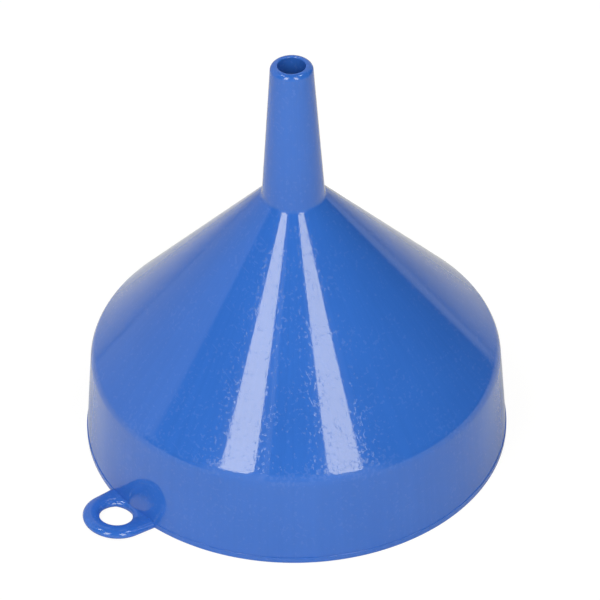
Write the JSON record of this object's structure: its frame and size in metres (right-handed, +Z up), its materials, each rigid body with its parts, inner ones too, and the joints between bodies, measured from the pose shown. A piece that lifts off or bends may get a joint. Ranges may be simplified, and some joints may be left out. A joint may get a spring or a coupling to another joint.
{
  "type": "funnel",
  "caption": "Glossy blue plastic funnel with a tall straight collar, a conical bowl, a long tapered spout and a thick round hanging ring on the rim.",
  "frame": {"origin": "centre of the funnel's mouth, in the plane that the rim rests on", "axes": "+Z up the funnel's axis from the mouth to the spout's outlet, -X towards the hanging ring. The part stands on its rim with the spout up; in use it is turned over."},
  "size_m": [0.1343, 0.12, 0.1243],
  "materials": {
    "blue_plastic": "glossy polypropylene, moulded in colour"
  },
  "bodies": {
    "root": {"rim_lip": "blue_plastic", "rim_band": "blue_plastic", "shoulder": "blue_plastic", "cone": "blue_plastic", "neck": "blue_plastic", "spout": "blue_plastic", "spout_tip": "blue_plastic", "hanging_ring": "blue_plastic"}
  },
  "joints": []
}
